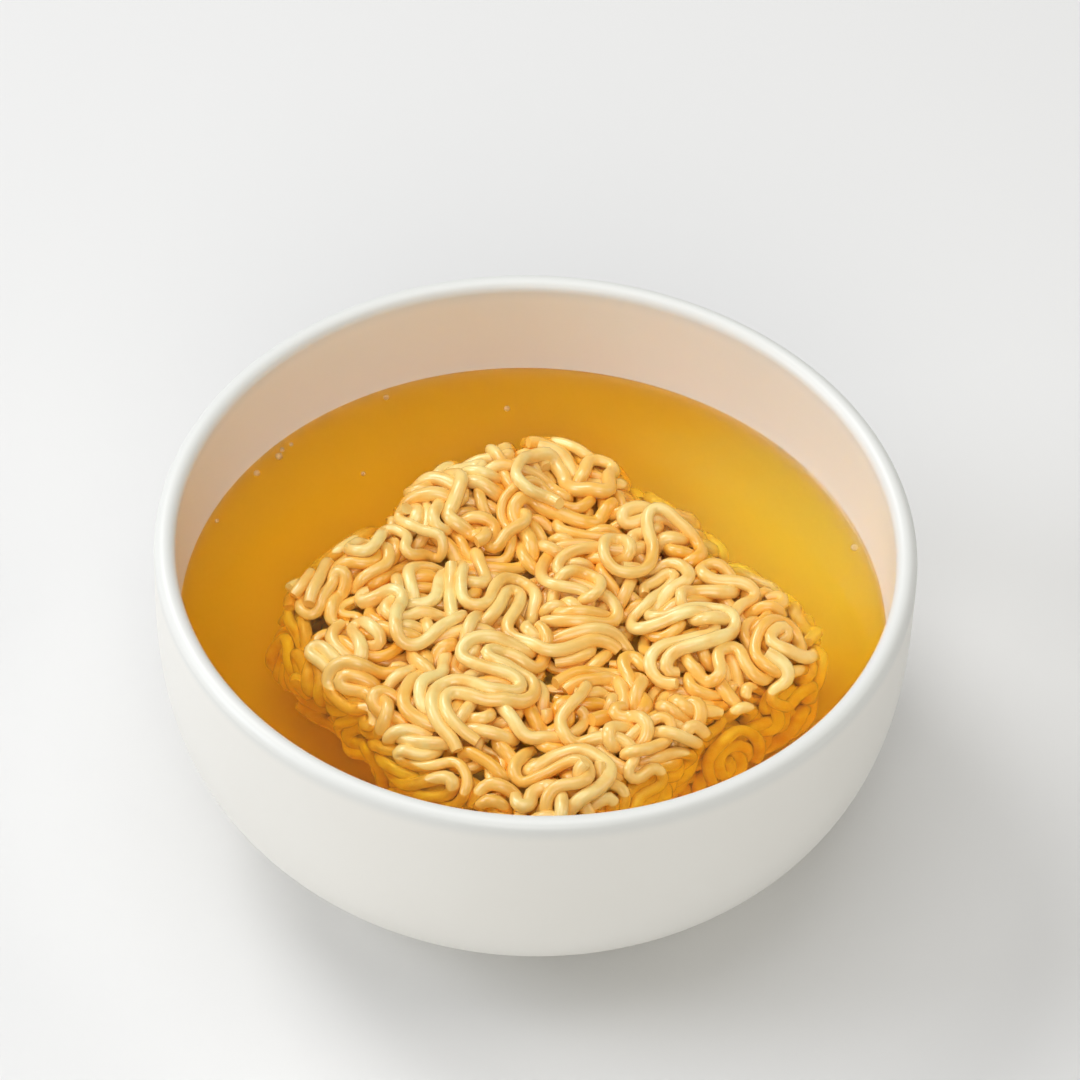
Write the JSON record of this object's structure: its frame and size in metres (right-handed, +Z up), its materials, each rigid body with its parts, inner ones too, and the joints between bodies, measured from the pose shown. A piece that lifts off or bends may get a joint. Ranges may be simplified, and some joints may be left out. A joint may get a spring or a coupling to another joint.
{
  "type": "bowl of instant noodles",
  "caption": "Round white bowl on a low foot ring, filled with clear golden broth in which a square block of curly instant noodles floats corner to the front.",
  "frame": {"origin": "centre of the foot ring's underside, on the table that the bowl stands on", "axes": "+Z up along the bowl's turned axis; -Y towards the viewer of the picture; +X to the viewer's right"},
  "size_m": [0.156, 0.156, 0.07],
  "materials": {
    "bowl_glaze": "satin white glaze on stoneware",
    "clear_broth": "clear amber liquid",
    "noodle_dough": "steeped wheat noodles, wet and slightly glossy"
  },
  "bodies": {
    "root": {"bowl": "bowl_glaze", "broth": "clear_broth", "noodle_block": "noodle_dough"}
  },
  "joints": []
}
